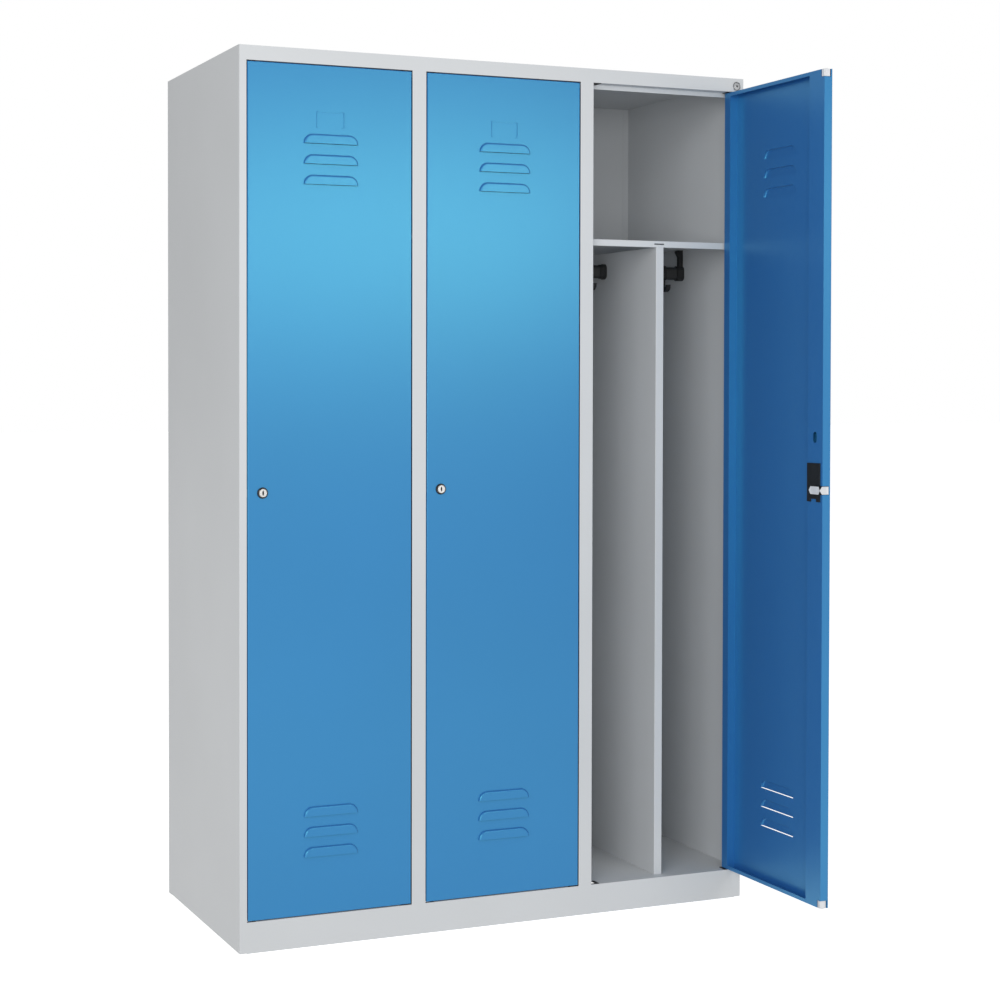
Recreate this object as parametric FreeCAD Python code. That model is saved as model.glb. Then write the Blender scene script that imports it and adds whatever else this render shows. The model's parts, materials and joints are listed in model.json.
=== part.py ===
import FreeCAD, Part
import math
import os

# Steel locker cabinet with three full-height compartments side by side.
# Millimetres, +Z up, +Y towards the back, origin on the floor at the middle of the carcass.
# A door is drawn closed in its own opening: x from the opening's lock side, y from the
# cabinet's front face, z from the floor. Then it is moved to its compartment and swung.

# ---- carcass ----
WIDTH = 1200.0
DEPTH = 500.0
HEIGHT = 1850.0
COMPARTMENTS = 3
SHEET = 0.8
BEND = 1.5
STILE = 16.0
HEADER = 30.0
PLINTH = 64.0
SIDE_LIFT = 1.2
REAR_FLANGE = 16.0
LOCK_LIP = 4.0
PILLAR_TUBE_WIDTH = 10.0
PILLAR_TUBE_DEPTH = 23.0
STOP_SETBACK = 24.0
STOP_DROP = 10.0
FOOT_FLANGE = 20.0
STIFFENER_WIDTH = 30.0

# ---- interior ----
SHELF_TOP = 1482.0
SHELF_LIP = 14.0
SHELF_SETBACK = 24.0
SHELF_RETURN = 10.0
TAB_SLOT = (-15.5, 9.5)
TAB_SLOT_HEIGHT = 3.0
DIVIDER_X = (-11.0, 8.0)
DIVIDER_SETBACK = 24.0
DIVIDER_RETURN = 15.0
RAIL_Z = 1426.0
RAIL_HIGH = 30.0
RAIL_DEEP = 15.0
RAIL_WALL = 2.0
FIT_GAP = 0.1
SOCKET_LENGTH = 18.0
SOCKET_RIM = 2.5
ARM_WIDE = 11.0
ARM_DEEP = 10.0
CATCH = ((0, 17), (7, 4), (5, 1), (0, 7))
COLLAR_LENGTH = 16.0
COLLAR_NECK = 1.5
COLLAR_FLARE = 3.0
COLLAR_RIM = 3.0
HOOK_WIDTH = 12.0
HOOK_PLACES = (-53.0, 146.0)
HOOK_GAP = 0.4
HOOK_WALL = 2.5
HOOK_DROP = 14.0
HOOK_REACH = 24.0
HOOK_ARM = 4.5
HOOK_TIP_RISE = 2.5

# ---- doors ----
OPENING = WIDTH / COMPARTMENTS - 2 * STILE
SIDE_GAP = 2.0
END_GAP = 2.3
DOOR_THICK = 20.0
LOCK_FLANGE = 51.0
HINGE_FLANGE = 21.0
TOP_LIP = 8.0
PIVOT_X = OPENING - 10.5
PIVOT_Y = 10.0
REST_ANGLES = (0.0, 0.0, 90.0)
PIN_RADIUS = 4.0
PIN_FIT = 0.05
PIN_REACH = 11.6
PIN_DEPTH = 17.4
COLLAR_RADIUS = 5.0
BUSH_WIDTH = 24.0
PLATE_FRONT = 1.5
PLATE_BACK = 23.7
PLATE_THICK = 1.4
BOSS_RADIUS = 7.0
BOSS_LENGTH = 12.0
HOLE_GAP = 0.1

# ---- louvres and label frame ----
LOUVRE_PITCH = 42.0
LOUVRE_LOWEST = (187.0, 1573.5)
LOUVRES_PER_SET = 3
LOUVRE_X = 184.0
LOUVRE_HALF = 60.0
LOUVRE_HEIGHT = 19.5
LOUVRE_RISE = 5.0
LOUVRE_ROUND = 4.0
SLIT_DROP = 0.3
LABEL_X = (152.6, 214.6)
LABEL_Z = (1690.0, 1724.5)
LABEL_BAR = 1.6
LABEL_HOOK = 6.0
LABEL_RISE = 1.3

# ---- lock ----
LOCK_X = 33.9
LOCK_Z = 941.3
RING_RADIUS = 11.5
RING_RISE = 3.0
RING_ROUND = 1.0
BARREL_RADIUS = 9.5
BARREL_END = 9.0
CORE_RADIUS = 8.7
CORE_RISE = 4.5
KEY_SLOT = (2.0, 9.0, 6.0)
CAM_RADIUS = 11.0
CAM_BACK = 12.5
CAM_THICK = 2.0
CRANK_RADIUS = 1.5
UPPER_CRANK = 225
LOWER_CRANK = 45
BOLT_CRANK = 135
CRANK_END = 1.0
ROD_THROW = 8.0
BOLT_THROW = 6.0
PLATE_X = (8.7, 52.1)
PLATE_Z = (917.0, 998.0)
CASE_THICK = 2.5
CASE_GAP = 1.0
CASE_POST_X = (-8.0, 14.0)
CASE_POST_Z = (24.0, 50.0)
PRONG_NOTCH = (19.0, 6.0)
BOLT_X = (1.5, 43.0)
BOLT_HEAD = 14.5
BOLT_HALF = 8.25
BOLT_Y = (5.0, 27.0)
BOLT_CHAMFER = 3.0
BOLT_SLOT_HALF = 1.85
BOLT_SLOT_TOP = 2.1
BOLT_SKIN = 1.0
BOLT_LIFT = 0.5
WINDOW_SPARE = (0.9, 0.7)
WINDOW_TOP = 1.7
ROD_Y = (13.2, 15.7)
ROD_X = (4.9, 12.9)
ROD_HALF_SLOT = 2.0
ROD_LEG = (11.0, 16.0)
ROD_FORK = 2.5
ROD_SLOT_END = 0.5
ROD_ARM_Z = (12.0, 20.0)
TIP_X = (3.0, 12.5)
TIP_Y = (4.5, 20.0)
TIP_HEIGHT = 15.5
TIP_PROUD = 0.8
PEG_INSET = 2.5
TIP_GAP = 0.6
STRIKE_WIDTH = 20.0
PEEP_X = 28.6
PEEP_Z = 1052.0
PEEP_SIZE = (13.0, 23.0)

# ---- badge ----
BADGE_X = 582.0
BADGE_Z = 1832.6
BADGE_RADIUS = 10.5
BADGE_RISE = 0.8

# ---- modelling ----
NEAR = 0.1
PAST = 1.0

FRONT = -DEPTH / 2
BACK = DEPTH / 2
LEFT = -WIDTH / 2
RIGHT = WIDTH / 2
OPENING_TOP = HEIGHT - HEADER
DOOR_LEFT = SIDE_GAP
DOOR_RIGHT = OPENING - SIDE_GAP
DOOR_BOTTOM = PLINTH + END_GAP
DOOR_TOP = OPENING_TOP - END_GAP
MODULE = WIDTH / COMPARTMENTS
REAR_INNER = BACK - SHEET
X_AXIS = FreeCAD.Vector(1, 0, 0)
Y_AXIS = FreeCAD.Vector(0, 1, 0)
Z_AXIS = FreeCAD.Vector(0, 0, 1)


# ---- shape helpers ----
def box(x, y, z):
    """A block from three (low, high) spans."""
    corner = FreeCAD.Vector(min(x), min(y), min(z))
    return Part.makeBox(abs(x[1] - x[0]), abs(y[1] - y[0]), abs(z[1] - z[0]), corner)


def rod(radius, start, end):
    """A round bar between two points."""
    first = FreeCAD.Vector(*start)
    along = FreeCAD.Vector(*end) - first
    return Part.makeCylinder(radius, along.Length, first, along)


def join(pieces):
    """One solid from pieces that share faces or overlap."""
    return pieces[0].multiFuse(pieces[1:]).removeSplitter()


def turned(shape, degrees, centre, axis):
    copy = shape.copy()
    copy.rotate(FreeCAD.Vector(*centre), axis, degrees)
    return copy


def shifted(shape, x=0.0, y=0.0, z=0.0):
    copy = shape.copy()
    copy.translate(FreeCAD.Vector(x, y, z))
    return copy


def flipped(shape):
    """The same piece upside down, so that an upper end fitting becomes a lower one."""
    middle = (DOOR_BOTTOM + DOOR_TOP) / 2
    return shape.mirror(FreeCAD.Vector(0, 0, middle), Z_AXIS)


def soften(shape, radius, wanted):
    """Rounds the edges whose middle point passes the test."""
    edges = [edge for edge in shape.Edges if wanted(edge.BoundBox)]
    return shape.makeFillet(radius, edges)


def upright_corner(b, x, front=FRONT):
    """True for a long upright edge at x in the plane at front."""
    return abs(b.XMin - x) < NEAR and abs(b.XMax - x) < NEAR and b.YMax < front + NEAR and b.ZLength > PLINTH


def oval(high, deep, x0, x1, z):
    """A lying bar with an upright stadium section, centred on y = 0."""
    radius = deep / 2
    rise = high / 2 - radius
    lower = rod(radius, (x0, 0, z - rise), (x1, 0, z - rise))
    upper = rod(radius, (x0, 0, z + rise), (x1, 0, z + rise))
    middle = box((x0, x1), (-radius, radius), (z - rise, z + rise))
    return join([middle, lower, upper])


def save(name, *solids):
    shape = solids[0] if len(solids) == 1 else Part.makeCompound(list(solids))
    shape.exportStep("parts/" + name + ".step")


# ---- places ----
def opening_left(number):
    """The lock side of a compartment's opening, at x."""
    return LEFT + MODULE * (number - 1) + STILE


def compartment_walls(number):
    """The inner faces of the two walls beside a compartment."""
    left = LEFT + SHEET if number == 1 else LEFT + MODULE * (number - 1) + SHEET / 2
    right = RIGHT - SHEET if number == COMPARTMENTS else LEFT + MODULE * number - SHEET / 2
    return left, right


def compartment_middle(number):
    return LEFT + MODULE * (number - 0.5)


def divider_edges(number):
    middle = compartment_middle(number)
    return middle + DIVIDER_X[0], middle + DIVIDER_X[1]


def in_opening(shape, number):
    """Moves a piece drawn in a door's own frame to a compartment, door closed."""
    return shifted(shape, opening_left(number), FRONT)


def on_door(shape, number):
    """Moves a piece of the door to its compartment and swings it to its rest angle."""
    placed = in_opening(shape, number)
    pivot = (opening_left(number) + PIVOT_X, FRONT + PIVOT_Y, 0)
    return turned(placed, REST_ANGLES[number - 1], pivot, Z_AXIS)


# ---- carcass ----
def side_panel(lock_lip):
    """The left side: outer sheet, front stile with or without a lip, rear flange."""
    height = (SIDE_LIFT, HEIGHT)
    walls = [
        box((LEFT, LEFT + SHEET), (FRONT, REAR_INNER), height),
        box((LEFT, LEFT + STILE), (FRONT, FRONT + SHEET), height),
        box((LEFT, LEFT + REAR_FLANGE), (REAR_INNER - SHEET, REAR_INNER), (PLINTH, HEIGHT - SHEET)),
    ]
    if lock_lip:
        inner = (LEFT + STILE - SHEET, LEFT + STILE)
        walls.append(box(inner, (FRONT, FRONT + LOCK_LIP), (PLINTH, OPENING_TOP)))
    panel = join(walls)
    return soften(panel, BEND, lambda b: upright_corner(b, LEFT))


def rear_panel():
    sheet = box((LEFT, RIGHT), (REAR_INNER, BACK), (0, HEIGHT))
    foot = box((LEFT, RIGHT), (REAR_INNER - FOOT_FLANGE, REAR_INNER), (0, SHEET))
    return join([sheet, foot])


def top_panel():
    return box((LEFT + SHEET, RIGHT - SHEET), (FRONT + SHEET, REAR_INNER), (HEIGHT - SHEET, HEIGHT))


def tip_hole(low, high, spare):
    """The rectangular way for a rod tip, in a door's own frame."""
    x = (TIP_X[0] - spare, TIP_X[1] + spare)
    y = (TIP_Y[0] - spare, TIP_Y[1] + spare)
    return box(x, y, (low, high))


def fitting_holes(low, high):
    """The holes that the bushing boss and the rod tip of every door need in a sheet."""
    boss = rod(BOSS_RADIUS + HOLE_GAP, (PIVOT_X, PIVOT_Y, low), (PIVOT_X, PIVOT_Y, high))
    tip = tip_hole(low, high, TIP_GAP)
    return [in_opening(cut, n) for n in range(1, COMPARTMENTS + 1) for cut in (boss, tip)]


def floor_panel():
    z = (PLINTH - SHEET, PLINTH)
    sheet = box((LEFT + SHEET, RIGHT - SHEET), (FRONT + SHEET, REAR_INNER - SHEET), z)
    return sheet.cut(Part.makeCompound(fitting_holes(z[0] - SHEET, z[1] + SHEET)))


def header_rail():
    """Front face, underside with the fitting holes, door stop lip, and top flange."""
    x = (LEFT + STILE, RIGHT - STILE)
    stop = FRONT + STOP_SETBACK
    face = box(x, (FRONT, FRONT + SHEET), (OPENING_TOP, HEIGHT))
    underside = box(x, (FRONT, stop + SHEET), (OPENING_TOP, OPENING_TOP + SHEET))
    lip = box(x, (stop, stop + SHEET), (OPENING_TOP - STOP_DROP, OPENING_TOP))
    flange = box(x, (FRONT, stop), (HEIGHT - 2 * SHEET, HEIGHT - SHEET))
    rail = join([face, underside, lip, flange])
    holes = fitting_holes(OPENING_TOP - SHEET, OPENING_TOP + 2 * SHEET)
    return rail.cut(Part.makeCompound(holes))


def base_rail():
    x = (LEFT + STILE, RIGHT - STILE)
    face = box(x, (FRONT, FRONT + SHEET), (0, PLINTH))
    foot = box(x, (FRONT, FRONT + FOOT_FLANGE), (0, SHEET))
    return join([face, foot])


def plinth_stiffener():
    """A channel under the floor panel, from the base rail's foot to the rear panel's foot."""
    half = STIFFENER_WIDTH / 2
    y = (FRONT + FOOT_FLANGE, REAR_INNER - FOOT_FLANGE)
    top = PLINTH - SHEET
    web = box((-half, SHEET - half), y, (0, top))
    flanges = [box((-half, half), y, (z, z + SHEET)) for z in (0, top - SHEET)]
    return join([web] + flanges)


def pillar(x):
    """Front post between two openings: face, lock-side lip and a stiffening tube."""
    z = (PLINTH, OPENING_TOP)
    tube_z = (PLINTH, OPENING_TOP - STOP_DROP)
    half = PILLAR_TUBE_WIDTH / 2
    tube_back = FRONT + SHEET + PILLAR_TUBE_DEPTH
    face = box((x - STILE, x + STILE), (FRONT, FRONT + SHEET), z)
    lip = box((x + STILE - SHEET, x + STILE), (FRONT, FRONT + LOCK_LIP), z)
    outer = box((x - half, x + half), (FRONT, tube_back), tube_z)
    inner = box((x - half + SHEET, x + half - SHEET), (FRONT + SHEET, tube_back - SHEET), tube_z)
    post = join([face, lip, outer.cut(inner)])
    return soften(post, SHEET, lambda b: upright_corner(b, x + STILE))


def partition(x):
    """Sheet between two compartments, notched at the top for the header's stop lip."""
    front = FRONT + SHEET + PILLAR_TUBE_DEPTH
    sheet = box((x - SHEET / 2, x + SHEET / 2), (front, REAR_INNER), (PLINTH, HEIGHT - SHEET))
    lip_back = FRONT + STOP_SETBACK + SHEET
    slit = box((x - SHEET, x + SHEET), (front - SHEET, lip_back), (OPENING_TOP - STOP_DROP, HEIGHT))
    return sheet.cut(slit)


def hat_shelf(number):
    """Folded tray, lips down, with a slot in the front lip for the divider's tab."""
    left, right = compartment_walls(number)
    front = FRONT + SHELF_SETBACK
    back = REAR_INNER - SHEET
    low = SHELF_TOP - SHELF_LIP
    z = (low, SHELF_TOP)
    walls = [
        box((left, right), (front, back), (SHELF_TOP - SHEET, SHELF_TOP)),
        box((left, right), (front, front + SHEET), z),
        box((left, right), (back - SHEET, back), z),
        box((left, left + SHEET), (front, back), z),
        box((right - SHEET, right), (front, back), z),
        box((left, right), (front, front + SHELF_RETURN), (low, low + SHEET)),
    ]
    middle = compartment_middle(number)
    centre = (low + SHELF_TOP) / 2
    slot_z = (centre - TAB_SLOT_HEIGHT / 2, centre + TAB_SLOT_HEIGHT / 2)
    slot_x = (middle + TAB_SLOT[0], middle + TAB_SLOT[1])
    slot = box(slot_x, (front - SHEET, front + 2 * SHEET), slot_z)
    tray = join(walls).cut(slot)
    return soften(tray, SHEET, lambda b: b.YMax < front + NEAR and b.ZMin > SHELF_TOP - NEAR)


def divider(number):
    """Upright sheet from floor to shelf, its front edge folded into a channel."""
    left, right = divider_edges(number)
    front = FRONT + DIVIDER_SETBACK
    z = (PLINTH, SHELF_TOP - SHELF_LIP)
    back = REAR_INNER - SHEET
    sheet = box((left, left + SHEET), (front, back), z)
    face = box((left, right), (front, front + SHEET), z)
    lip = box((right - SHEET, right), (front, front + DIVIDER_RETURN), z)
    foot_y = (front + DIVIDER_RETURN, back)
    foot = box((left, right), foot_y, (PLINTH, PLINTH + SHEET))
    grip = 2 * COLLAR_NECK
    way = oval(RAIL_HIGH + grip, RAIL_DEEP + grip, left - SHEET, left + 2 * SHEET, RAIL_Z)
    panel = join([sheet, face, lip, foot]).cut(way)
    return soften(panel, SHEET, lambda b: upright_corner(b, left, front))


# ---- coat rails ----
def coat_rail(number):
    left, right = compartment_walls(number)
    ends = (left + SHEET, right - SHEET)
    outer = oval(RAIL_HIGH, RAIL_DEEP, ends[0], ends[1], RAIL_Z)
    hollow = oval(RAIL_HIGH - 2 * RAIL_WALL, RAIL_DEEP - 2 * RAIL_WALL, ends[0], ends[1], RAIL_Z)
    return outer.cut(hollow)


def rail_way(x0, x1):
    """The space that a fitting leaves for the rail."""
    return oval(RAIL_HIGH + 2 * FIT_GAP, RAIL_DEEP + 2 * FIT_GAP, x0, x1, RAIL_Z)


def rail_bracket(wall, inward):
    """End socket on a wall, with an arm up into the shelf and a small catch at its top."""
    end = wall + inward * SOCKET_LENGTH
    span = (min(wall, end), max(wall, end))
    shelf = SHELF_TOP - SHEET
    half = ARM_DEEP / 2
    rim = oval(RAIL_HIGH + 2 * SOCKET_RIM, RAIL_DEEP + 2 * SOCKET_RIM, span[0], span[1], RAIL_Z)
    side = wall + inward * ARM_WIDE
    arm = box((wall + inward * SHEET, side), (-half, half), (RAIL_Z, shelf))
    points = [FreeCAD.Vector(side + inward * out, -half, shelf - down) for out, down in CATCH + CATCH[:1]]
    nib = Part.Face(Part.makePolygon(points)).extrude(Y_AXIS * ARM_DEEP)
    way = rail_way(wall + inward * SHEET, end + inward * PAST)
    return join([rim, arm, nib]).cut(way)


def rail_collar(number):
    """Bush where the rail crosses the divider: flared on the left, a thin rim on the right."""
    sheet_left = divider_edges(number)[0]
    sheet_right = sheet_left + SHEET
    grip = 2 * COLLAR_NECK
    wide = 2 * COLLAR_FLARE
    start = sheet_left - COLLAR_LENGTH
    neck = oval(RAIL_HIGH + grip, RAIL_DEEP + grip, start, sheet_right + COLLAR_RIM, RAIL_Z)
    flare = oval(RAIL_HIGH + wide, RAIL_DEEP + wide, sheet_left - COLLAR_LENGTH / 2, sheet_left, RAIL_Z)
    rim = oval(RAIL_HIGH + wide, RAIL_DEEP + wide, sheet_right, sheet_right + COLLAR_RIM, RAIL_Z)
    way = rail_way(sheet_left - 2 * COLLAR_LENGTH, sheet_right + 2 * COLLAR_RIM)
    return join([neck, flare, rim]).cut(way)


def coat_hook(x):
    """Sliding double hook: a loop round the rail, a stem, and an arm to the front and back."""
    x0 = x - HOOK_WIDTH / 2
    x1 = x + HOOK_WIDTH / 2
    way = oval(RAIL_HIGH + 2 * HOOK_GAP, RAIL_DEEP + 2 * HOOK_GAP, x0 - PAST, x1 + PAST, RAIL_Z)
    wall = 2 * (HOOK_GAP + HOOK_WALL)
    loop = oval(RAIL_HIGH + wall, RAIL_DEEP + wall, x0, x1, RAIL_Z).cut(way)
    loop_low = RAIL_Z - RAIL_HIGH / 2 - HOOK_GAP - HOOK_WALL / 2
    low = loop_low - HOOK_DROP
    half = HOOK_ARM / 2
    stem = box((x0, x1), (-half, half), (low, loop_low))
    pieces = [loop, stem]
    for side in (-1, 1):
        tip = side * HOOK_REACH
        middle = tip / 2
        outer = abs(middle) + half
        cup = Part.makeCylinder(outer, HOOK_WIDTH, FreeCAD.Vector(x0, middle, low), X_AXIS)
        hole = Part.makeCylinder(outer - HOOK_ARM, HOOK_WIDTH, FreeCAD.Vector(x0, middle, low), X_AXIS)
        above = box((x0, x1), (middle - outer, middle + outer), (low, low + outer))
        pieces.append(cup.cut(hole).cut(above))
        pieces.append(box((x0, x1), (tip - half, tip + half), (low, low + HOOK_TIP_RISE)))
    return join(pieces)


# ---- door fittings on the carcass ----
def hinge_bushing():
    """Upper bearing: a thin plate under the header with a bored boss above it."""
    top = OPENING_TOP
    plate = box((OPENING - BUSH_WIDTH, OPENING), (PLATE_FRONT, PLATE_BACK), (top - PLATE_THICK, top))
    boss = rod(BOSS_RADIUS, (PIVOT_X, PIVOT_Y, top), (PIVOT_X, PIVOT_Y, top + BOSS_LENGTH))
    bore = rod(PIN_RADIUS + PIN_FIT, (PIVOT_X, PIVOT_Y, DOOR_TOP), (PIVOT_X, PIVOT_Y, top + 2 * BOSS_LENGTH))
    return join([plate, boss]).cut(bore)


def rod_strike():
    """Upper strike: a thin plate under the header with a way for the rod tip."""
    plate = box((0, STRIKE_WIDTH), (PLATE_FRONT, PLATE_BACK), (OPENING_TOP - PLATE_THICK, OPENING_TOP))
    return plate.cut(tip_hole(DOOR_TOP, OPENING_TOP + SHEET, TIP_GAP))


def every_opening(upper):
    """An upper fitting and its lower twin, at each opening."""
    pair = (upper, flipped(upper))
    return [in_opening(piece, n) for n in range(1, COMPARTMENTS + 1) for piece in pair]


# ---- door ----
def louvre_outline(bottom, inset, low, y):
    """A flat top between two quarter circles that stand on the louvre's foot, in the plane at y."""
    foot = LOUVRE_HALF - inset
    top = bottom + LOUVRE_HEIGHT - inset
    radius = top - low
    crown = foot - radius
    half_way = radius * math.sin(math.radians(45))

    def at(x, z):
        return FreeCAD.Vector(LOUVRE_X + x, y, z)

    edges = [
        Part.LineSegment(at(-foot, low), at(foot, low)),
        Part.Arc(at(foot, low), at(crown + half_way, low + half_way), at(crown, top)),
        Part.LineSegment(at(crown, top), at(-crown, top)),
        Part.Arc(at(-crown, top), at(-crown - half_way, low + half_way), at(-foot, low)),
    ]
    return Part.Wire([edge.toShape() for edge in edges])


def louvre_body(bottom, inset):
    """The pressed-out form of one louvre, or with an inset the hollow behind it, open at its foot."""
    start = SHEET + NEAR if inset else SHEET / 2
    low = bottom - (SLIT_DROP if inset else 0)
    rise = LOUVRE_RISE - inset
    body = Part.Face(louvre_outline(bottom, inset, low, start)).extrude(Y_AXIS * (-rise - start))
    return soften(body, LOUVRE_ROUND - inset, lambda b: b.YMax < NEAR - rise and b.ZMax > bottom + PAST)


def louvre_bottoms():
    return [low + LOUVRE_PITCH * step for low in LOUVRE_LOWEST for step in range(LOUVRES_PER_SET)]


def label_frame():
    """Two facing brackets and a thin upper line, pressed out of the door's face."""
    depth = (-LABEL_RISE, SHEET / 2)
    bars = []
    for edge, inward in ((LABEL_X[0], 1), (LABEL_X[1], -1)):
        bars.append(box((edge, edge + inward * LABEL_BAR), depth, LABEL_Z))
        for z in (LABEL_Z[0], LABEL_Z[1] - LABEL_BAR):
            bars.append(box((edge, edge + inward * LABEL_HOOK), depth, (z, z + LABEL_BAR)))
    line_x = (LABEL_X[0] + 2 * LABEL_HOOK, LABEL_X[1] - 2 * LABEL_HOOK)
    line_z = (LABEL_Z[1] - 2 * LABEL_BAR, LABEL_Z[1] - LABEL_BAR)
    bars.append(box(line_x, (-LABEL_RISE / 2, SHEET / 2), line_z))
    return bars


def door_walls():
    """The folded sheet: face, four edges, and a closed box profile on the lock and hinge sides."""
    inner = (DOOR_THICK - SHEET, DOOR_THICK)
    deep = (0, DOOR_THICK)
    wide = (DOOR_LEFT, DOOR_RIGHT)
    tall = (DOOR_BOTTOM, DOOR_TOP)
    lock_end = DOOR_LEFT + LOCK_FLANGE
    hinge_end = DOOR_RIGHT - HINGE_FLANGE
    walls = [
        box(wide, (0, SHEET), tall),
        box((DOOR_LEFT, DOOR_LEFT + SHEET), deep, tall),
        box((DOOR_LEFT, lock_end), inner, tall),
        box((lock_end - SHEET, lock_end), deep, tall),
        box((DOOR_RIGHT - SHEET, DOOR_RIGHT), deep, tall),
        box((hinge_end, DOOR_RIGHT), inner, tall),
        box((hinge_end, hinge_end + SHEET), deep, tall),
    ]
    for edge, inward in ((DOOR_BOTTOM, 1), (DOOR_TOP, -1)):
        walls.append(box(wide, deep, (edge, edge + inward * SHEET)))
        walls.append(box(wide, inner, (edge, edge + inward * TOP_LIP)))
    return walls


def lock_cutouts():
    """Openings in the lock profile for the barrel, the bolt, the lock body and the crank pin."""
    back = (DOOR_THICK - 2 * SHEET, DOOR_THICK + SHEET)
    post_x = (LOCK_X + CASE_POST_X[0] - CASE_GAP, LOCK_X + CASE_POST_X[1] + CASE_GAP)
    post_z = (LOCK_Z + CASE_POST_Z[0] - CASE_GAP, LOCK_Z + CASE_POST_Z[1] + CASE_GAP)
    barrel = rod(BARREL_RADIUS + HOLE_GAP, (LOCK_X, -SHEET, LOCK_Z), (LOCK_X, 2 * SHEET, LOCK_Z))
    post = box(post_x, back, post_z)
    return [barrel, bolt_way((BOLT_Y[0] - CASE_GAP, DOOR_THICK + PAST)), post, crank_window(back)]


def bolt_way(y):
    """The way of the bolt's head through a wall."""
    z = (LOCK_Z - BOLT_HALF - CASE_GAP, LOCK_Z + BOLT_HALF + CASE_GAP)
    return box((0, BOLT_X[0] + BOLT_HEAD + CASE_GAP), y, z)


def crank_window(y):
    """The way of the bolt's crank pin through a wall."""
    reach = BOLT_THROW / math.sqrt(2) + CRANK_RADIUS + WINDOW_SPARE[0]
    z = (LOCK_Z - BOLT_THROW - CRANK_RADIUS - WINDOW_SPARE[1], LOCK_Z - WINDOW_TOP)
    return box((LOCK_X - reach, LOCK_X + reach), y, z)


def peep_slot():
    """Upright slot with round ends in the inner flange."""
    radius = PEEP_SIZE[0] / 2
    rise = PEEP_SIZE[1] / 2 - radius
    y = (DOOR_THICK - 2 * SHEET, DOOR_THICK + SHEET)
    levels = (PEEP_Z - rise, PEEP_Z + rise)
    ends = [rod(radius, (PEEP_X, y[0], z), (PEEP_X, y[1], z)) for z in levels]
    middle = box((PEEP_X - radius, PEEP_X + radius), y, levels)
    return join([middle] + ends)


def tip_pocket():
    """The upper corner of the lock profile is cut away for the rod tip."""
    x = (0, TIP_X[1] + TIP_GAP)
    y = (TIP_Y[0] - TIP_GAP, DOOR_THICK + SHEET)
    return box(x, y, (DOOR_TOP - TIP_HEIGHT - TIP_GAP, DOOR_TOP + SHEET))


def pin_hole():
    bottom = (PIVOT_X, PIVOT_Y, DOOR_TOP - 2 * SHEET)
    top = (PIVOT_X, PIVOT_Y, DOOR_TOP + SHEET)
    return rod(PIN_RADIUS + HOLE_GAP, bottom, top)


def on_front_rim(b):
    """True for an edge round the door's outer face."""
    at_side = b.XMax < DOOR_LEFT + NEAR or b.XMin > DOOR_RIGHT - NEAR
    at_end = b.ZMax < DOOR_BOTTOM + NEAR or b.ZMin > DOOR_TOP - NEAR
    return b.YMax < NEAR and (at_side or at_end)


def door_panel():
    blank = soften(join(door_walls()), BEND, on_front_rim)
    pressed = join([blank] + label_frame() + [louvre_body(z, 0.0) for z in louvre_bottoms()])
    cuts = [louvre_body(z, SHEET) for z in louvre_bottoms()]
    cuts += lock_cutouts() + [peep_slot()]
    for corner in (tip_pocket(), pin_hole()):
        cuts += [corner, flipped(corner)]
    return pressed.cut(Part.makeCompound(cuts))


def hinge_pin():
    """Upper pin: a shaft through the door's top edge, with a collar under the sheet."""
    top = DOOR_TOP
    shaft = rod(PIN_RADIUS, (PIVOT_X, PIVOT_Y, top - PIN_DEPTH), (PIVOT_X, PIVOT_Y, top + PIN_REACH))
    collar = rod(COLLAR_RADIUS, (PIVOT_X, PIVOT_Y, top - 3 * SHEET), (PIVOT_X, PIVOT_Y, top - SHEET))
    return join([shaft, collar])


# ---- lock ----
def lock_ring():
    """Threaded barrel with a round front ring, bored for the core."""
    ring = rod(RING_RADIUS, (LOCK_X, -RING_RISE, LOCK_Z), (LOCK_X, 0, LOCK_Z))
    ring = soften(ring, RING_ROUND, lambda b: b.YMax < NEAR - RING_RISE)
    barrel = rod(BARREL_RADIUS, (LOCK_X, 0, LOCK_Z), (LOCK_X, BARREL_END, LOCK_Z))
    bore = rod(CORE_RADIUS + PIN_FIT, (LOCK_X, -2 * RING_RISE, LOCK_Z), (LOCK_X, 2 * BARREL_END, LOCK_Z))
    return join([ring, barrel]).cut(bore)


def crank(throw, clock, y0, y1):
    """A crank pin on the cam. Clock is its angle from straight up, clockwise from outside."""
    angle = math.radians(clock)
    x = LOCK_X + throw * math.sin(angle)
    z = LOCK_Z + throw * math.cos(angle)
    return rod(CRANK_RADIUS, (x, y0, z), (x, y1, z))


def lock_core():
    """Key cylinder, neck and cam disc with three crank pins, in one turning piece."""
    cam_front = CAM_BACK - CAM_THICK
    head = rod(CORE_RADIUS, (LOCK_X, -CORE_RISE, LOCK_Z), (LOCK_X, BARREL_END, LOCK_Z))
    neck = rod(CORE_RADIUS / 2, (LOCK_X, BARREL_END, LOCK_Z), (LOCK_X, cam_front, LOCK_Z))
    cam = rod(CAM_RADIUS, (LOCK_X, cam_front, LOCK_Z), (LOCK_X, CAM_BACK, LOCK_Z))
    pins = [
        crank(ROD_THROW, UPPER_CRANK, cam_front, ROD_Y[1] + CRANK_END),
        crank(ROD_THROW, LOWER_CRANK, cam_front, ROD_Y[1] + CRANK_END),
        crank(BOLT_THROW, BOLT_CRANK, cam_front, BOLT_Y[1] - BOLT_SKIN - CRANK_END / 2),
    ]
    wide, high, deep = KEY_SLOT
    slot_y = (-CORE_RISE - PAST, deep - CORE_RISE)
    slot = box((LOCK_X - wide / 2, LOCK_X + wide / 2), slot_y, (LOCK_Z - high / 2, LOCK_Z + high / 2))
    return join([head, neck, cam] + pins).cut(slot)


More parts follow.
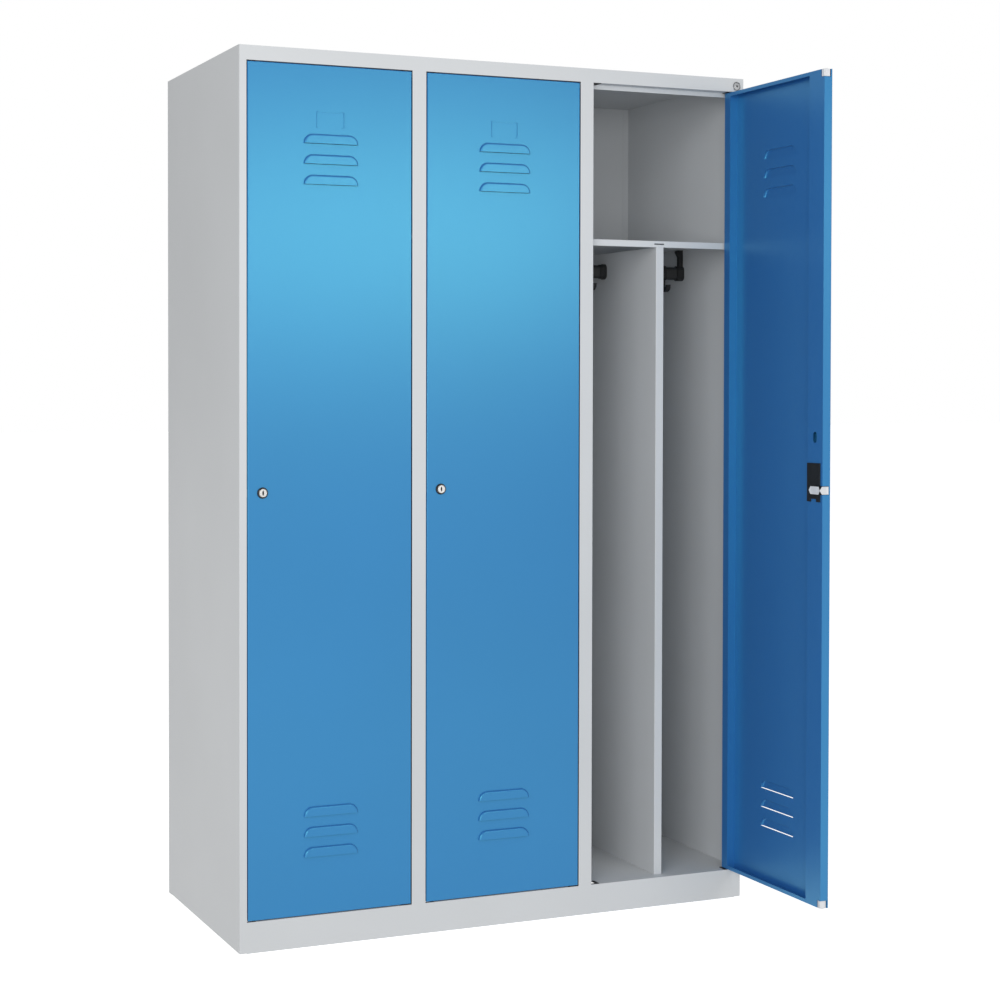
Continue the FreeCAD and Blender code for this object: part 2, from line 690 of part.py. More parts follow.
def lock_case():
    """Lock body: a front block round the barrel, a post, and the cover plate on the flange."""
    plate_y = (DOOR_THICK, DOOR_THICK + CASE_THICK)
    post_x = (LOCK_X + CASE_POST_X[0], LOCK_X + CASE_POST_X[1])
    post_z = (LOCK_Z + CASE_POST_Z[0], LOCK_Z + CASE_POST_Z[1])
    block_x = (LOCK_X - CAM_RADIUS, LOCK_X + CASE_POST_X[1])
    plate = box(PLATE_X, plate_y, PLATE_Z)
    block = box(block_x, (SHEET, BARREL_END), (LOCK_Z - CAM_RADIUS, post_z[1]))
    post = box(post_x, (SHEET, DOOR_THICK), post_z)
    barrel = rod(BARREL_RADIUS + HOLE_GAP, (LOCK_X, 0, LOCK_Z), (LOCK_X, 2 * BARREL_END, LOCK_Z))
    middle = (PLATE_X[0] + PLATE_X[1]) / 2
    notch_x = (middle - PRONG_NOTCH[0] / 2, middle + PRONG_NOTCH[0] / 2)
    cuts = [
        barrel,
        box(notch_x, plate_y, (PLATE_Z[0], PLATE_Z[0] + PRONG_NOTCH[1])),
        bolt_way(plate_y),
        crank_window(plate_y),
    ]
    return join([plate, block, post]).cut(Part.makeCompound(cuts))


def latch_bolt():
    """Sliding bolt: a thick head in the door's edge and a flat tail over the cover plate."""
    z = (LOCK_Z - BOLT_HALF, LOCK_Z + BOLT_HALF)
    head_end = BOLT_X[0] + BOLT_HEAD
    tail_front = DOOR_THICK + CASE_THICK + BOLT_LIFT
    head = box((BOLT_X[0], head_end), BOLT_Y, z)
    tail = box((BOLT_X[0], BOLT_X[1]), (tail_front, BOLT_Y[1]), z)
    body = join([head, tail])
    body = body.makeChamfer(BOLT_CHAMFER, [edge for edge in body.Edges if bolt_outline(edge.BoundBox)])
    slot_x = LOCK_X + BOLT_THROW * math.sin(math.radians(BOLT_CRANK))
    x = (slot_x - BOLT_SLOT_HALF, slot_x + BOLT_SLOT_HALF)
    slot = box(x, (tail_front - PAST, BOLT_Y[1] - BOLT_SKIN), (z[0] - PAST, LOCK_Z - BOLT_SLOT_TOP))
    return body.cut(slot)


def bolt_outline(b):
    """True for the bolt's four outer corner edges, seen from inside the cabinet."""
    across = b.XLength < NEAR and b.ZLength < NEAR and b.YLength > NEAR
    return across and (b.XMax < BOLT_X[0] + NEAR or b.XMin > BOLT_X[1] - NEAR)


def upper_rod():
    """Flat bar beside the door's edge, with an offset leg and a fork on the cam's left pin."""
    leg = (LOCK_X - ROD_LEG[1], LOCK_X - ROD_LEG[0])
    arm_z = (LOCK_Z + ROD_ARM_Z[0], LOCK_Z + ROD_ARM_Z[1])
    return rod_shape(leg, LOCK_X - ROD_FORK, UPPER_CRANK, arm_z, DOOR_TOP - TIP_HEIGHT)


def lower_rod():
    """The lower bar reaches past the cam to its right pin."""
    leg = (LOCK_X + ROD_LEG[0], LOCK_X + ROD_LEG[1])
    arm_z = (LOCK_Z - ROD_ARM_Z[1], LOCK_Z - ROD_ARM_Z[0])
    return rod_shape(leg, LOCK_X + ROD_FORK, LOWER_CRANK, arm_z, DOOR_BOTTOM + TIP_HEIGHT)


def rod_shape(leg, fork_end, clock, arm_z, far_end):
    """A rod from its fork on the cam, along its leg and arm, to the far end of its bar."""
    pin_z = LOCK_Z + ROD_THROW * math.cos(math.radians(clock))
    fork = (pin_z - 2 * ROD_HALF_SLOT, pin_z + 2 * ROD_HALF_SLOT)
    reach = (min(fork[0], arm_z[0]), max(fork[1], arm_z[1]))
    pieces = [
        box((min(leg[0], fork_end), max(leg[1], fork_end)), ROD_Y, fork),
        box(leg, ROD_Y, reach),
        box((ROD_X[0], leg[1]), ROD_Y, arm_z),
        box(ROD_X, ROD_Y, (sum(arm_z) / 2, far_end)),
    ]
    towards_leg = 1 if leg[0] > LOCK_X else -1
    open_side = fork_end - towards_leg * PAST
    closed_side = (leg[0] if towards_leg > 0 else leg[1]) - towards_leg * ROD_SLOT_END
    slot = box((open_side, closed_side), ROD_Y, (pin_z - ROD_HALF_SLOT, pin_z + ROD_HALF_SLOT))
    return join(pieces).cut(slot)


def rod_tip():
    """Upper tip: a block in the door's corner with a slightly raised peg on top."""
    block = box(TIP_X, TIP_Y, (DOOR_TOP - TIP_HEIGHT, DOOR_TOP))
    peg_x = (TIP_X[0] + PEG_INSET, TIP_X[1] - PEG_INSET)
    peg_y = (TIP_Y[0] + PEG_INSET, TIP_Y[1] - PEG_INSET)
    peg = box(peg_x, peg_y, (DOOR_TOP, DOOR_TOP + TIP_PROUD))
    return join([block, peg])


def badge_disc():
    start = (BADGE_X, FRONT - BADGE_RISE, BADGE_Z)
    disc = rod(BADGE_RADIUS, start, (BADGE_X, FRONT, BADGE_Z))
    return soften(disc, BADGE_RISE / 2, lambda b: b.YMax < FRONT - BADGE_RISE + 0.1)


# ---- the whole cabinet ----
def save_carcass():
    left = side_panel(True)
    plain = side_panel(False)
    save("side_panel_left", left)
    save("side_panel_right", plain.mirror(FreeCAD.Vector(0, 0, 0), X_AXIS))
    for maker in (rear_panel, top_panel, floor_panel, header_rail, base_rail, plinth_stiffener):
        save(maker.__name__, maker())
    for number in range(1, COMPARTMENTS):
        x = LEFT + MODULE * number
        save("pillar_%d" % number, pillar(x))
        save("partition_%d" % number, partition(x))
    save("badge_disc", badge_disc())


def save_interior():
    rails = []
    brackets = []
    collars = []
    for number in range(1, COMPARTMENTS + 1):
        save("shelf_%d" % number, hat_shelf(number))
        save("divider_%d" % number, divider(number))
        left, right = compartment_walls(number)
        rails.append(coat_rail(number))
        brackets += [rail_bracket(left, 1), rail_bracket(right, -1)]
        collars.append(rail_collar(number))
        for side, place in zip(("left", "right"), HOOK_PLACES):
            save("coat_hook_%d_%s" % (number, side), coat_hook(compartment_middle(number) + place))
    save("coat_rails", *rails)
    save("rail_brackets", *brackets)
    save("rail_collars", *collars)
    save("hinge_bushings", *every_opening(hinge_bushing()))
    save("rod_strikes", *every_opening(rod_strike()))


def save_doors():
    upper_tip = rod_tip()
    pin = hinge_pin()
    pieces = {
        "panel": [door_panel()],
        "lock_ring": [lock_ring()],
        "lock_core": [lock_core()],
        "lock_case": [lock_case()],
        "latch_bolt": [latch_bolt()],
        "upper_rod": [upper_rod()],
        "lower_rod": [lower_rod()],
        "upper_tip": [upper_tip],
        "lower_tip": [flipped(upper_tip)],
        "hinge_pins": [pin, flipped(pin)],
    }
    for number in range(1, COMPARTMENTS + 1):
        for name, solids in pieces.items():
            save("door_%d_%s" % (number, name), *[on_door(solid, number) for solid in solids])


os.makedirs("parts", exist_ok=True)
save_carcass()
save_interior()
save_doors()
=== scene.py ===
import json
import math

import bmesh
import bpy
from mathutils import Euler, Matrix, Vector


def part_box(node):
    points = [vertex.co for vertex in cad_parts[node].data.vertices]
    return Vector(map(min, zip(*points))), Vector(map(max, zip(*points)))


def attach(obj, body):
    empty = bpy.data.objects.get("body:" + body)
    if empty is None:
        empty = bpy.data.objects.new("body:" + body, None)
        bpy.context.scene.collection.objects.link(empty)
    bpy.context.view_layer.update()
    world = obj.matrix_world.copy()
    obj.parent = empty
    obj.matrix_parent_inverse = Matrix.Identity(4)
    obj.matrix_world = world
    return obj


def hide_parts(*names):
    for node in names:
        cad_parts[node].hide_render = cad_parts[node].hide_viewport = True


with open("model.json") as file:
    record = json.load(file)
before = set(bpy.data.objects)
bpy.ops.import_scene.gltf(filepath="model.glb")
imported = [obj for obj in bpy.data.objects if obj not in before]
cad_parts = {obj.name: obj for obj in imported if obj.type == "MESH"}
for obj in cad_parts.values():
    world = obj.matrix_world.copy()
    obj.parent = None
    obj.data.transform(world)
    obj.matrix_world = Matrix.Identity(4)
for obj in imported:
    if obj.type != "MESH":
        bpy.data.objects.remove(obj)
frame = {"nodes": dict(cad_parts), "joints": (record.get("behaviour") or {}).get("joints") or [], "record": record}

# Looks of the steel locker cabinet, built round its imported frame. Metres, +Z up, doors face -Y.

DOORS = (1, 2, 3)

# The camera's place, aim and framing.
CAMERA_PLACE = (-1.815, -3.812, 1.163)
CAMERA_YAW = math.radians(-21.174)
CAMERA_PITCH = math.radians(88.896)
CAMERA_LENS = 66.80
CAMERA_SHIFT = (0.185, -0.08)

# The studio: name, place, aim, size and power of each softbox.
SOFTBOXES = (
    ("door_softbox", (1.2, -3.9, 1.83), (0.2, -0.25, 1.4), (2.4, 0.68), 34),
    ("key_softbox", (-3.9, -4.4, 2.8), (0.2, 0.0, 0.8), (3.2, 2.4), 92),
    ("fill_softbox", (-2.4, -4.4, 1.1), (0.5, -0.2, 0.8), (2.4, 1.6), 62),
)
WORLD_LEVEL = 0.52
FLOOR_REACH = 40.0

# The range that most noise values fall in.
NOISE_LOW = 0.3
NOISE_HIGH = 0.7

# Sockets of the colour mix node.
MIX_FACTOR = 0
MIX_FIRST = 6
MIX_SECOND = 7
MIX_RESULT = 2

# Heights of the surface textures.
PEEL_HEIGHT = 0.00012
GRIT_HEIGHT = 0.00003
GRAIN_HEIGHT = 0.00006
LINE_HEIGHT = 0.00002

# Edges and joined points.
MOULDED_EDGE = 0.0010
SHEET_EDGE = 0.0003
EDGE_ANGLE = math.radians(40)
WELD_GAP = 0.000002
SAME_POINT = 0.000001

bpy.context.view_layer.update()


# ---- node helpers ----
def new_material(name):
    """An empty node material with its principled shader."""
    material = bpy.data.materials.new(name)
    material.use_nodes = True
    nodes = material.node_tree.nodes
    shader = next(node for node in nodes if node.type == "BSDF_PRINCIPLED")
    return material, shader


def add(material, kind, inputs=None, **settings):
    """A node with its settings, and its input sockets set or linked by name or number."""
    tree = material.node_tree
    node = tree.nodes.new(kind)
    for key, value in settings.items():
        setattr(node, key, value)
    for key, value in (inputs or {}).items():
        if isinstance(value, bpy.types.NodeSocket):
            tree.links.new(value, node.inputs[key])
        else:
            node.inputs[key].default_value = value
    return node


def link(material, source, target):
    """Joins an output to an input."""
    material.node_tree.links.new(source, target)


def place(material, stretch=(1, 1, 1)):
    """Positions on the object in metres, stretched along chosen axes."""
    where = add(material, "ShaderNodeTexCoord")
    mapped = add(material, "ShaderNodeMapping", {"Vector": where.outputs["Object"], "Scale": stretch})
    return mapped.outputs["Vector"]


def noise(material, vector, scale, detail=2.0):
    """A noise value over a vector, finer as the scale grows."""
    inputs = {"Vector": vector, "Scale": scale, "Detail": detail}
    return add(material, "ShaderNodeTexNoise", inputs).outputs["Fac"]


def spread(material, value, low, high):
    """A noise value mapped from its usual range to a chosen one."""
    inputs = {"Value": value, "From Min": NOISE_LOW, "From Max": NOISE_HIGH, "To Min": low, "To Max": high}
    return add(material, "ShaderNodeMapRange", inputs).outputs["Result"]


def tint(material, value, dark, light):
    """A colour between two, by a noise value."""
    ramp = add(material, "ShaderNodeValToRGB", {"Fac": value})
    stops = zip(ramp.color_ramp.elements, (NOISE_LOW, NOISE_HIGH), (dark, light))
    for element, position, colour in stops:
        element.position = position
        element.color = (*colour, 1)
    return ramp.outputs["Color"]


def shade(colour, factor):
    """A colour made darker or lighter by a factor."""
    return tuple(min(1.0, channel * factor) for channel in colour)


def bump(material, shader, layers, strength):
    """Stacks height layers of (value, height in metres) on the shader's normal."""
    normal = None
    for value, distance in layers:
        inputs = {"Height": value, "Strength": strength, "Distance": distance}
        if normal is not None:
            inputs["Normal"] = normal
        normal = add(material, "ShaderNodeBump", inputs).outputs["Normal"]
    link(material, normal, shader.inputs["Normal"])


# ---- materials ----
def powder_coat(name, colour, roughness, gloss=0.5, gloss_tint=(1, 1, 1), index=1.5):
    """Baked powder paint: orange peel, a fine grit, and a slight drift of tone and gloss."""
    material, shader = new_material(name)
    where = place(material)
    drift = noise(material, where, 2.2, 3.0)
    grit = noise(material, where, 1400.0, 1.0)
    peel = noise(material, where, 260.0, 2.0)
    base = tint(material, drift, shade(colour, 0.97), shade(colour, 1.03))
    flecks = tint(material, grit, shade(colour, 0.7), shade(colour, 1.25))
    inputs = {MIX_FACTOR: 0.06, MIX_FIRST: base, MIX_SECOND: flecks}
    speck = add(material, "ShaderNodeMix", inputs, data_type="RGBA")
    link(material, speck.outputs[MIX_RESULT], shader.inputs["Base Color"])
    link(material, spread(material, peel, roughness - 0.03, roughness + 0.04), shader.inputs["Roughness"])
    shader.inputs["Specular IOR Level"].default_value = gloss
    shader.inputs["Specular Tint"].default_value = (*gloss_tint, 1)
    shader.inputs["IOR"].default_value = index
    bump(material, shader, ((peel, PEEL_HEIGHT), (grit, GRIT_HEIGHT)), 0.35)
    return material


def moulded(name, colour, roughness, grain=900.0):
    """Injection-moulded plastic with a spark-eroded grain and faint flow marks."""
    material, shader = new_material(name)
    where = place(material)
    texture = noise(material, where, grain, 2.0)
    flow = noise(material, place(material, (1, 1, 0.25)), 60.0, 2.0)
    base = tint(material, flow, shade(colour, 0.85), shade(colour, 1.15))
    link(material, base, shader.inputs["Base Color"])
    gloss = spread(material, texture, roughness - 0.06, roughness + 0.08)
    link(material, gloss, shader.inputs["Roughness"])
    shader.inputs["Specular IOR Level"].default_value = 0.3
    bump(material, shader, ((texture, GRAIN_HEIGHT),), 0.5)
    return material


def drawn_metal(name, colour, roughness, stretch):
    """Metal with fine lines along its drawing direction and a soft cloudiness."""
    material, shader = new_material(name)
    lines = noise(material, place(material, stretch), 700.0, 3.0)
    cloud = noise(material, place(material), 25.0, 2.0)
    base = tint(material, cloud, shade(colour, 0.85), shade(colour, 1.08))
    link(material, base, shader.inputs["Base Color"])
    gloss = spread(material, lines, roughness - 0.08, roughness + 0.1)
    link(material, gloss, shader.inputs["Roughness"])
    shader.inputs["Metallic"].default_value = 1.0
    bump(material, shader, ((lines, LINE_HEIGHT),), 0.5)
    return material


def paper_white(name):
    """The studio floor: matt white with a barely visible mottling."""
    material, shader = new_material(name)
    mottle = noise(material, place(material), 3.0, 3.0)
    base = tint(material, mottle, (0.93, 0.93, 0.93), (0.95, 0.95, 0.95))
    link(material, base, shader.inputs["Base Color"])
    shader.inputs["Roughness"].default_value = 0.9
    shader.inputs["Specular IOR Level"].default_value = 0.1
    shader.inputs["Emission Color"].default_value = (1, 1, 1, 1)
    shader.inputs["Emission Strength"].default_value = 0.6
    return material


materials = {
    "body_paint": powder_coat("body_powder_coat", (0.555, 0.573, 0.588), 0.42),
    "door_paint": powder_coat("door_powder_coat", (0.024, 0.127, 0.385), 0.31, 1.0, (0.25, 1.0, 1.0), 1.60),
    "black_plastic": moulded("black_moulding", (0.012, 0.013, 0.015), 0.42),
    "light_plastic": moulded("white_moulding", (0.66, 0.675, 0.70), 0.35),
    "rail_plastic": moulded("rail_fitting_moulding", (0.014, 0.015, 0.016), 0.45),
    "hook_plastic": moulded("hook_moulding", (0.014, 0.015, 0.016), 0.40),
    "rail_steel": powder_coat("rail_powder_coat", (0.016, 0.017, 0.018), 0.38),
    "zinc_steel": drawn_metal("zinc_plate", (0.55, 0.57, 0.58), 0.38, (1, 1, 0.02)),
    "lock_metal": drawn_metal("satin_nickel", (0.72, 0.71, 0.69), 0.22, (1, 0.05, 1)),
    "badge": drawn_metal("satin_aluminium", (0.36, 0.37, 0.38), 0.38, (0.05, 1, 1)),
}


# ---- carried-over nodes ----
FRAME_SHEETS = ("header_rail", "base_rail", "pillar", "side_panel", "top_panel", "rear_panel")


def soften_edges(piece, width, segments=3):
    """Rounds the sharp edges of a piece by a width in metres."""
    edge = piece.modifiers.new("edge", "BEVEL")
    edge.width = width
    edge.segments = segments
    edge.limit_method = "ANGLE"
    edge.angle_limit = EDGE_ANGLE
    normals = piece.modifiers.new("normals", "WEIGHTED_NORMAL")
    normals.keep_sharp = True


def finish_cad_nodes():
    """Gives every CAD node its material, joined faces and small rounded edges."""
    slots = {part["node"]: part["material_slot"] for part in frame["record"]["subparts"]}
    for name, node in frame["nodes"].items():
        node.data.materials.clear()
        node.data.materials.append(materials[slots[name]])
        weld = node.modifiers.new("weld", "WELD")
        weld.merge_threshold = WELD_GAP
        if slots[name].endswith("plastic"):
            soften_edges(node, MOULDED_EDGE if "hook" in name or "bracket" in name else MOULDED_EDGE / 3)
        elif not name.startswith(FRAME_SHEETS) and not name.startswith("door"):
            soften_edges(node, SHEET_EDGE, 2)


finish_cad_nodes()


# ---- mesh helpers ----
def finish_piece(name, mesh_data, slot, body, edge, replaced=None):
    """Turns mesh data into a piece with a material, rounded edges and its body."""
    mesh = bpy.data.meshes.new(name)
    mesh_data.normal_update()
    bmesh.ops.recalc_face_normals(mesh_data, faces=mesh_data.faces)
    mesh_data.to_mesh(mesh)
    mesh_data.free()
    piece = bpy.data.objects.new(name, mesh)
    bpy.context.scene.collection.objects.link(piece)
    mesh.materials.append(materials[slot])
    mesh.shade_smooth()
    soften_edges(piece, edge)
    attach(piece, body)
    if replaced:
        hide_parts(replaced)
    return piece


def prism(mesh_data, outline, low, high, to_point):
    """Adds a prism from an outline of (a, b) pairs between two depths. Returns its two end faces."""
    rings = [[mesh_data.verts.new(to_point(a, b, depth)) for a, b in outline] for depth in (low, high)]
    ends = [mesh_data.faces.new(ring) for ring in rings]
    count = len(outline)
    for i in range(count):
        j = (i + 1) % count
        mesh_data.faces.new((rings[0][i], rings[0][j], rings[1][j], rings[1][i]))
    return ends


def dish(mesh_data, face, rim, depth):
    """Sinks the middle of a face by a depth, inside a rim. A negative depth raises it."""
    bmesh.ops.recalc_face_normals(mesh_data, faces=mesh_data.faces)
    bmesh.ops.inset_region(mesh_data, faces=[face], thickness=rim)
    bmesh.ops.inset_region(mesh_data, faces=[face], thickness=abs(depth), depth=-depth)


def lathe(mesh_data, profile, to_point, steps=64):
    """Turns a profile of (radius, depth) pairs round an axis. Its ends close at radius 0."""
    angles = [2 * math.pi * i / steps for i in range(steps)]
    rings = []
    for radius, depth in profile:
        if radius == 0:
            rings.append([mesh_data.verts.new(to_point(0, 0, depth))])
            continue
        spots = [to_point(radius * math.cos(t), radius * math.sin(t), depth) for t in angles]
        rings.append([mesh_data.verts.new(spot) for spot in spots])
    for lower, upper in zip(rings, rings[1:]):
        for i in range(steps):
            j = (i + 1) % steps
            below = [lower[i % len(lower)], lower[j % len(lower)]]
            above = [upper[j % len(upper)], upper[i % len(upper)]]
            mesh_data.faces.new(list(dict.fromkeys(below + above)))


def chamfered(low_a, high_a, low_b, high_b, cut):
    """A rectangle with its four corners cut off."""
    return [(low_a + cut, low_b), (high_a - cut, low_b), (high_a, low_b + cut), (high_a, high_b - cut),
            (high_a - cut, high_b), (low_a + cut, high_b), (low_a, high_b - cut), (low_a, low_b + cut)]


# ---- door frames ----
def door_place(number):
    """The frame of a closed door about its hinge: x along the door, y into the cabinet."""
    hinge = next(joint for joint in frame["joints"] if joint["name"] == "door_%d_hinge" % number)
    rest = math.radians(-hinge["range_deg"][0])
    x, y, _ = hinge["pos_m"]
    return Matrix.Translation((x, y, 0)) @ Matrix.Rotation(rest, 4, "Z")


def node_in_door(number, part):
    """A node's lowest and highest corners in its door's frame."""
    inverse = door_place(number).inverted()
    corners = [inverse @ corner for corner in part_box("door_%d_%s" % (number, part))]
    low = Vector(tuple(min(pair) for pair in zip(*corners)))
    high = Vector(tuple(max(pair) for pair in zip(*corners)))
    return low, high


# ---- rod tips ----
def make_tip(number, end):
    """White corner block: a soft-edged body with a band that stands slightly proud of it."""
    door = door_place(number)
    part = end + "_tip"
    low, high = node_in_door(number, part)
    peg = 0.0008
    reach = 0.0004
    inset = 0.001
    setback = 0.002
    body_cut = 0.0012
    band_cut = 0.0006
    top, bottom = (high.z - peg, low.z) if end == "upper" else (high.z, low.z + peg)
    data = bmesh.new()

    def upright(a, b, depth):
        return door @ Vector((a, b, depth))

    prism(data, chamfered(low.x, high.x, low.y, high.y, body_cut), bottom, top, upright)
    band = (high.y - low.y) * 0.28
    outline = chamfered(low.x - reach, high.x - setback, low.y + band, high.y - band, band_cut)
    band_bottom = bottom - peg if end == "lower" else bottom + inset
    band_top = top + peg if end == "upper" else top - inset
    prism(data, outline, band_bottom, band_top, upright)
    finish_piece("rod_tip_%s_%d" % (end, number), data, "light_plastic", "%s_rod_%d" % (end, number), 0.0006,
                 "door_%d_%s" % (number, part))


# ---- latch bolts ----
def make_bolt(number):
    """A black slide, notched at its corner, with a white cap on its tail and another on its head."""
    door = door_place(number)
    low, high = node_in_door(number, "latch_bolt")
    body = "bolt_%d" % number
    taper = 0.0058
    tail = 0.0040
    skin = 0.0010
    cap = 0.0009
    cap_rim = 0.0022
    cap_dip = 0.0005
    head_end = low.x + 0.0145
    tail_end = high.x - 0.0035
    middle = (low.z + high.z) / 2
    ridge = 0.0010
    x = (low.x + cap, low.x + taper, head_end, tail_end - taper, tail_end)
    y = (low.y, high.y - taper, high.y - tail, high.y - cap)
    z = (low.z, middle - ridge, middle, middle + ridge, high.z)
    data = bmesh.new()
    corners = {}

    def inward(a, b, depth):
        return door @ Vector((a, depth, b))

    def sideways(a, b, depth):
        return door @ Vector((depth, a, b))

    def face(*places):
        """A face through places on the grid of x, y and z levels."""
        for spot in places:
            if spot not in corners:
                i, j, k = spot
                corners[spot] = data.verts.new(door @ Vector((x[i], y[j], z[k])))
        return data.faces.new([corners[spot] for spot in places])

    face((0, 0, 0), (0, 1, 0), (0, 3, 2), (0, 1, 4), (0, 0, 4))
    face((0, 3, 2), (1, 3, 4), (3, 3, 4), (4, 3, 2), (3, 3, 0), (1, 3, 0))
    rear = face((2, 2, 0), (2, 2, 4), (3, 2, 4), (4, 2, 2), (3, 2, 0))
    for k, pit in ((0, (1, 1, 1)), (4, (1, 1, 3))):
        face((0, 0, k), (0, 1, k), (1, 1, k), (1, 3, k), (3, 3, k), (3, 2, k), (2, 2, k), (2, 0, k))
        face((0, 1, k), (0, 3, 2), pit)
        face((0, 3, 2), (1, 3, k), pit)
        face((0, 1, k), (1, 1, k), pit)
        face((1, 1, k), (1, 3, k), pit)
        face((3, 3, k), (4, 3, 2), (4, 2, 2), (3, 2, k))
    face((0, 0, 0), (2, 0, 0), (2, 0, 4), (0, 0, 4))
    face((2, 0, 0), (2, 2, 0), (2, 2, 4), (2, 0, 4))
    bmesh.ops.recalc_face_normals(data, faces=data.faces)
    bmesh.ops.inset_region(data, faces=[rear], thickness=skin / 2)
    bmesh.ops.inset_region(data, faces=[rear], thickness=0, depth=skin + cap - tail)
    finish_piece("bolt_slide_%d" % number, data, "black_plastic", body, 0.0002,
                 "door_%d_latch_bolt" % number)

    data = bmesh.new()
    outline = [(low.x + cap, middle), (x[1], high.z), (x[3], high.z),
               (x[4], middle), (x[3], low.z), (x[1], low.z)]
    tail_cap = prism(data, outline, y[3], high.y, inward)
    dish(data, tail_cap[1], cap_rim, cap_dip)
    outline = [(y[0], low.z), (y[1], low.z), (high.y, middle), (y[1], high.z), (y[0], high.z)]
    head_cap = prism(data, outline, low.x, x[0], sideways)
    dish(data, head_cap[0], cap_rim, cap_dip)
    finish_piece("bolt_caps_%d" % number, data, "light_plastic", body, 0.0002)


# ---- locks ----
def lock_frame(number, part):
    """The middle and front of a lock part, and a map from (a, b, depth) about them to the cabinet."""
    door = door_place(number)
    low, high = node_in_door(number, part)
    middle = (low + high) / 2

    def inward(a, b, depth):
        return door @ Vector((middle.x + a, low.y + depth, middle.z + b))

    return (high.x - low.x) / 2, high.y - low.y, inward


def make_slot_shadow_and_sleeve(number):
    """Painted shadow of the key slot: a black insert round the slot, its middle sunk; and a dark sleeve round the
    plug's face.
    """
    body = "lock_%d" % number
    cam_radius, _, inward = lock_frame(number, "lock_core")
    face_radius = cam_radius * 0.70
    plug_radius = cam_radius * 0.795
    half_wide = 0.0017
    half_high = 0.0056
    proud = 0.00025
    shoulder = half_high * 0.45
    data = bmesh.new()
    # The black insert is painted shadow: it stands in for the shade inside the narrow key slot.
    outline = [(0, -half_high), (half_wide, -shoulder), (half_wide, shoulder),
               (0, half_high), (-half_wide, shoulder), (-half_wide, -shoulder)]
    ends = prism(data, outline, -proud, proud, inward)
    dish(data, ends[0], 0.0005, 0.0002)
    finish_piece("painted_slot_shadow_%d" % number, data, "black_plastic", body, 0.00005)
    data = bmesh.new()
    depth = 0.0016
    profile = [(face_radius, proud), (face_radius + 0.0003, -proud / 2), (plug_radius - 0.0004, -proud / 2),
               (plug_radius, proud), (plug_radius, depth), (face_radius, depth), (face_radius, proud)]
    lathe(data, profile, inward)
    bmesh.ops.remove_doubles(data, verts=data.verts, dist=SAME_POINT)
    finish_piece("plug_sleeve_%d" % number, data, "black_plastic", body, 0.00005)


def make_ring(number):
    """Black lock ring with a stepped, rounded front."""
    outer, rear, inward = lock_frame(number, "lock_ring")
    bore = 0.00878
    barrel = 0.0095
    face = 0.003
    data = bmesh.new()
    profile = [(bore, rear), (bore, 0.0006), (bore + 0.0005, 0), (outer - 0.0012, 0),
               (outer - 0.0004, 0.0004), (outer, 0.0014), (outer, face), (barrel, face),
               (barrel, rear), (bore, rear)]
    lathe(data, profile, inward)
    bmesh.ops.remove_doubles(data, verts=data.verts, dist=SAME_POINT)
    finish_piece("lock_ring_%d" % number, data, "black_plastic", "door_%d" % number, 0.0002,
                 "door_%d_lock_ring" % number)


# ---- badge ----
def make_badge():
    """A plain round badge: a raised rim round a shallow field with a blank middle stud."""
    low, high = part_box("badge_disc")
    middle = (low + high) / 2
    outer = (high.x - low.x) / 2
    rise = high.y - low.y
    data = bmesh.new()

    def forward(a, b, depth):
        return Vector((middle.x + a, high.y - depth, middle.z + b))

    profile = [(0, rise * 0.7), (outer * 0.28, rise * 0.7), (outer * 0.34, rise * 0.35),
               (outer * 0.72, rise * 0.35), (outer * 0.88, rise * 0.35), (outer * 0.92, rise),
               (outer * 0.97, rise), (outer, rise * 0.6), (outer, 0), (0, 0)]
    lathe(data, profile, forward)
    finish_piece("round_badge", data, "badge", "root", 0.00008, "badge_disc")
    for name, inner, wide in (("badge_ring", 0.76, 0.86), ("badge_stud", 0.0, 0.22)):
        data = bmesh.new()
        base, top = (rise * 0.3, rise * 0.5) if inner else (rise * 0.6, rise * 0.85)
        profile = [(outer * inner, top), (outer * wide, top), (outer * wide, base), (outer * inner, base)]
        if inner:
            profile.append(profile[0])
        lathe(data, profile, forward)
        bmesh.ops.remove_doubles(data, verts=data.verts, dist=SAME_POINT)
        finish_piece(name, data, "black_plastic", "root", 0.00003)


for door_number in DOORS:
    make_tip(door_number, "upper")
    make_tip(door_number, "lower")
    make_bolt(door_number)
    make_slot_shadow_and_sleeve(door_number)
    make_ring(door_number)
make_badge()


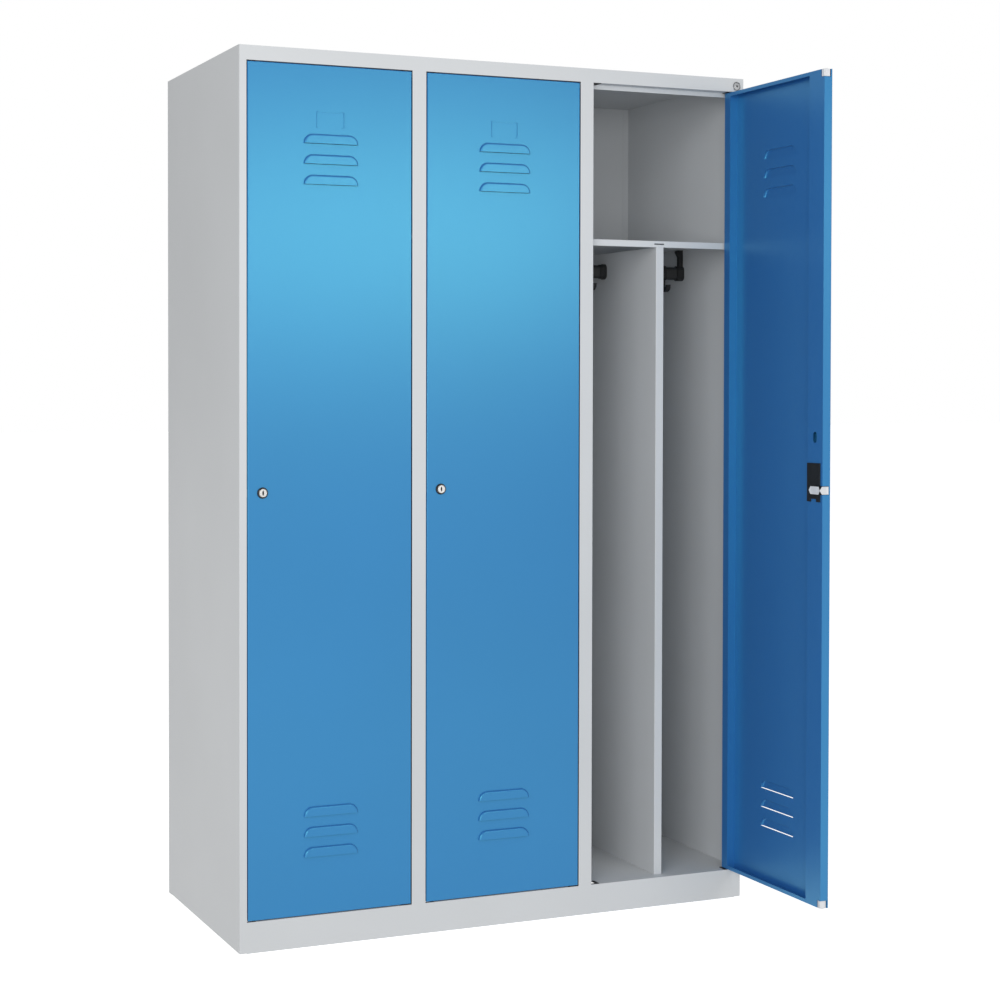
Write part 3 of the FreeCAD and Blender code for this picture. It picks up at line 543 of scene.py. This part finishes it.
# ---- stage ----
def make_floor():
    """A wide pale floor, left out of diffuse bounces."""
    mesh = bpy.data.meshes.new("floor")
    corners = [(-FLOOR_REACH, -FLOOR_REACH, 0), (FLOOR_REACH, -FLOOR_REACH, 0),
               (FLOOR_REACH, FLOOR_REACH, 0), (-FLOOR_REACH, FLOOR_REACH, 0)]
    mesh.from_pydata(corners, [], [(0, 1, 2, 3)])
    floor = bpy.data.objects.new("floor", mesh)
    bpy.context.scene.collection.objects.link(floor)
    floor.data.materials.append(paper_white("floor_paper"))
    floor.visible_diffuse = False


def make_light(name, place_at, aim, size, power):
    """A rectangular softbox aimed at a point."""
    light = bpy.data.lights.new(name, "AREA")
    light.shape = "RECTANGLE"
    light.size, light.size_y = size
    light.energy = power
    lamp = bpy.data.objects.new(name, light)
    bpy.context.scene.collection.objects.link(lamp)
    lamp.location = place_at
    lamp.rotation_euler = (Vector(aim) - Vector(place_at)).to_track_quat("-Z", "Y").to_euler()


def make_world(strength):
    """Soft light from all round, behind a backdrop that is plain white to the eye."""
    world = bpy.data.worlds.new("studio")
    bpy.context.scene.world = world
    world.use_nodes = True
    background = world.node_tree.nodes["Background"]
    background.inputs["Color"].default_value = (1, 1, 1, 1)
    seen = world.node_tree.nodes.new("ShaderNodeLightPath")
    level = world.node_tree.nodes.new("ShaderNodeMapRange")
    level.inputs["To Min"].default_value = strength
    level.inputs["To Max"].default_value = 1.0
    world.node_tree.links.new(seen.outputs["Is Camera Ray"], level.inputs["Value"])
    world.node_tree.links.new(level.outputs["Result"], background.inputs["Strength"])


def make_camera():
    """The main camera."""
    data = bpy.data.cameras.new("camera")
    data.lens = CAMERA_LENS
    data.shift_x, data.shift_y = CAMERA_SHIFT
    camera = bpy.data.objects.new("camera", data)
    bpy.context.scene.collection.objects.link(camera)
    camera.location = CAMERA_PLACE
    camera.rotation_euler = Euler((CAMERA_PITCH, 0, CAMERA_YAW))
    bpy.context.scene.camera = camera


make_camera()
make_floor()
make_world(WORLD_LEVEL)
for softbox in SOFTBOXES:
    make_light(*softbox)
bpy.context.scene.view_settings.view_transform = "Standard"
